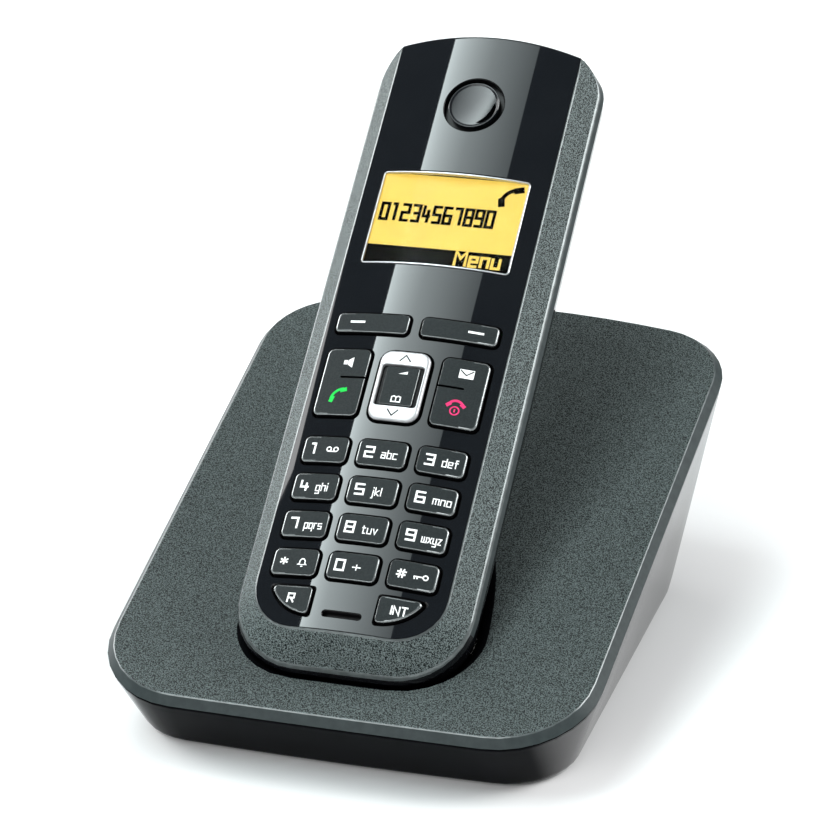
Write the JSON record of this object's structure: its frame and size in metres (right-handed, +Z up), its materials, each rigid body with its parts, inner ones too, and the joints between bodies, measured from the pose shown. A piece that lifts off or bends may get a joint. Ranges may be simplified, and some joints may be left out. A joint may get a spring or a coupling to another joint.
{
  "type": "cordless phone with base",
  "caption": "Cordless handset with keypad and display, docked in a sloping charging base with a shallow cradle.",
  "frame": {"origin": "middle of the object's footprint, on the surface that the rubber feet stand on", "axes": "+X to the right as seen from the front, +Y to the rear, +Z up"},
  "size_m": [0.1118, 0.1359, 0.1209],
  "materials": {
    "textured_grey": "fine spark texture, satin speckled grey",
    "gloss_black": "polished",
    "key_grey": "satin lacquer with printed legends",
    "silver_paint": "silver lacquer",
    "clear_window": "clear, polished",
    "amber_display": "backlit amber with black figures",
    "black_rubber": "moulded",
    "green_board": "solder mask",
    "tinned_steel": "tinned",
    "gold_plate": "gold plated",
    "black_moulding": "moulded",
    "pale_moulding": "moulded",
    "battery_wrap": "printed sleeve",
    "blue_sleeve": "heat shrunk sleeve"
  },
  "bodies": {
    "base": {"base_top_cover": "textured_grey", "base_lower_housing": "gloss_black", "base_circuit_board": "green_board", "base_shield_can": "tinned_steel", "base_capacitors": "blue_sleeve", "base_antenna": "gold_plate", "contact_holder": "pale_moulding", "line_socket": "black_moulding", "power_socket": "black_moulding", "paging_switch": "black_moulding", "rubber_feet": "black_rubber", "base_screws": "tinned_steel"},
    "charge_pin_left": {"charge_pin_left": "gold_plate"},
    "charge_pin_right": {"charge_pin_right": "gold_plate"},
    "paging_key": {"paging_key": "key_grey"},
    "handset": {"handset_front_shell": "textured_grey", "handset_back_shell": "gloss_black", "inlay_panel": "gloss_black", "display_window": "clear_window", "lcd_module": "amber_display", "earpiece_disc": "gloss_black", "earpiece_speaker": "tinned_steel", "microphone": "tinned_steel", "keypad_mat": "black_rubber", "handset_circuit_board": "green_board", "handset_shield_can": "tinned_steel", "handset_antenna": "gold_plate", "battery_tray": "black_moulding", "battery_cell_left": "battery_wrap", "battery_cell_right": "battery_wrap", "battery_contacts": "tinned_steel", "handset_charge_contacts": "gold_plate", "ringer_speaker": "tinned_steel", "handset_screws": "tinned_steel"},
    "battery_cover": {"battery_cover": "gloss_black"},
    "soft_key_left": {"soft_key_left": "key_grey"},
    "soft_key_right": {"soft_key_right": "key_grey"},
    "key_1": {"key_1": "key_grey"},
    "key_2": {"key_2": "key_grey"},
    "key_3": {"key_3": "key_grey"},
    "key_4": {"key_4": "key_grey"},
    "key_5": {"key_5": "key_grey"},
    "key_6": {"key_6": "key_grey"},
    "key_7": {"key_7": "key_grey"},
    "key_8": {"key_8": "key_grey"},
    "key_9": {"key_9": "key_grey"},
    "key_star": {"key_star": "key_grey"},
    "key_0": {"key_0": "key_grey"},
    "key_hash": {"key_hash": "key_grey"},
    "key_r": {"key_r": "key_grey"},
    "key_int": {"key_int": "key_grey"},
    "talk_key": {"talk_key": "key_grey"},
    "end_key": {"end_key": "key_grey"},
    "nav_key": {"nav_ring": "silver_paint", "nav_core": "gloss_black"}
  },
  "joints": [
    {"name": "handset_lift", "type": "slide", "parent": "base", "child": "handset", "axis": [0, 0, 1], "range_m": [0, 0.06]},
    {"name": "battery_cover_slide", "type": "slide", "parent": "handset", "child": "battery_cover", "axis": [0, 0.7863, 0.6179], "range_m": [0, 0.005]},
    {"name": "charge_pin_left_travel", "type": "slide", "parent": "base", "child": "charge_pin_left", "axis": [0, -0.6179, 0.7863], "range_m": [-0.0008, 0], "stiffness_N_per_m": 500, "springref_m": 0.0005},
    {"name": "charge_pin_right_travel", "type": "slide", "parent": "base", "child": "charge_pin_right", "axis": [0, -0.6179, 0.7863], "range_m": [-0.0008, 0], "stiffness_N_per_m": 500, "springref_m": 0.0005},
    {"name": "paging_key_press", "type": "slide", "parent": "base", "child": "paging_key", "axis": [0, 0.8849, -0.4658], "range_m": [-0.0005, 0], "stiffness_N_per_m": 500, "springref_m": 0.0005},
    {"name": "soft_key_left_press", "type": "slide", "parent": "handset", "child": "soft_key_left", "axis": [0, -0.6179, 0.7863], "range_m": [-0.0005, 0], "stiffness_N_per_m": 400, "springref_m": 0.0005},
    {"name": "soft_key_right_press", "type": "slide", "parent": "handset", "child": "soft_key_right", "axis": [0, -0.6179, 0.7863], "range_m": [-0.0005, 0], "stiffness_N_per_m": 400, "springref_m": 0.0005},
    {"name": "key_1_press", "type": "slide", "parent": "handset", "child": "key_1", "axis": [0, -0.6179, 0.7863], "range_m": [-0.0005, 0], "stiffness_N_per_m": 400, "springref_m": 0.0005},
    {"name": "key_2_press", "type": "slide", "parent": "handset", "child": "key_2", "axis": [0, -0.6179, 0.7863], "range_m": [-0.0005, 0], "stiffness_N_per_m": 400, "springref_m": 0.0005},
    {"name": "key_3_press", "type": "slide", "parent": "handset", "child": "key_3", "axis": [0, -0.6179, 0.7863], "range_m": [-0.0005, 0], "stiffness_N_per_m": 400, "springref_m": 0.0005},
    {"name": "key_4_press", "type": "slide", "parent": "handset", "child": "key_4", "axis": [0, -0.6179, 0.7863], "range_m": [-0.0005, 0], "stiffness_N_per_m": 400, "springref_m": 0.0005},
    {"name": "key_5_press", "type": "slide", "parent": "handset", "child": "key_5", "axis": [0, -0.6179, 0.7863], "range_m": [-0.0005, 0], "stiffness_N_per_m": 400, "springref_m": 0.0005},
    {"name": "key_6_press", "type": "slide", "parent": "handset", "child": "key_6", "axis": [0, -0.6179, 0.7863], "range_m": [-0.0005, 0], "stiffness_N_per_m": 400, "springref_m": 0.0005},
    {"name": "key_7_press", "type": "slide", "parent": "handset", "child": "key_7", "axis": [0, -0.6179, 0.7863], "range_m": [-0.0005, 0], "stiffness_N_per_m": 400, "springref_m": 0.0005},
    {"name": "key_8_press", "type": "slide", "parent": "handset", "child": "key_8", "axis": [0, -0.6179, 0.7863], "range_m": [-0.0005, 0], "stiffness_N_per_m": 400, "springref_m": 0.0005},
    {"name": "key_9_press", "type": "slide", "parent": "handset", "child": "key_9", "axis": [0, -0.6179, 0.7863], "range_m": [-0.0005, 0], "stiffness_N_per_m": 400, "springref_m": 0.0005},
    {"name": "key_star_press", "type": "slide", "parent": "handset", "child": "key_star", "axis": [0, -0.6179, 0.7863], "range_m": [-0.0005, 0], "stiffness_N_per_m": 400, "springref_m": 0.0005},
    {"name": "key_0_press", "type": "slide", "parent": "handset", "child": "key_0", "axis": [0, -0.6179, 0.7863], "range_m": [-0.0005, 0], "stiffness_N_per_m": 400, "springref_m": 0.0005},
    {"name": "key_hash_press", "type": "slide", "parent": "handset", "child": "key_hash", "axis": [0, -0.6179, 0.7863], "range_m": [-0.0005, 0], "stiffness_N_per_m": 400, "springref_m": 0.0005},
    {"name": "key_r_press", "type": "slide", "parent": "handset", "child": "key_r", "axis": [0, -0.6179, 0.7863], "range_m": [-0.0005, 0], "stiffness_N_per_m": 400, "springref_m": 0.0005},
    {"name": "key_int_press", "type": "slide", "parent": "handset", "child": "key_int", "axis": [0, -0.6179, 0.7863], "range_m": [-0.0005, 0], "stiffness_N_per_m": 400, "springref_m": 0.0005},
    {"name": "talk_key_rock", "type": "hinge", "parent": "handset", "child": "talk_key", "pos_m": [-0.0133, -0.00869, 0.06225], "axis": [1, 0, 0], "range_deg": [-1.5, 1.5], "stiffness_Nm_per_rad": 0.3},
    {"name": "end_key_rock", "type": "hinge", "parent": "handset", "child": "end_key", "pos_m": [0.0133, -0.00869, 0.06225], "axis": [1, 0, 0], "range_deg": [-1.5, 1.5], "stiffness_Nm_per_rad": 0.3},
    {"name": "nav_key_rock", "type": "hinge", "parent": "handset", "child": "nav_key", "pos_m": [0, -0.00883, 0.06214], "axis": [1, 0, 0], "range_deg": [-2.5, 2.5], "stiffness_Nm_per_rad": 0.3}
  ]
}
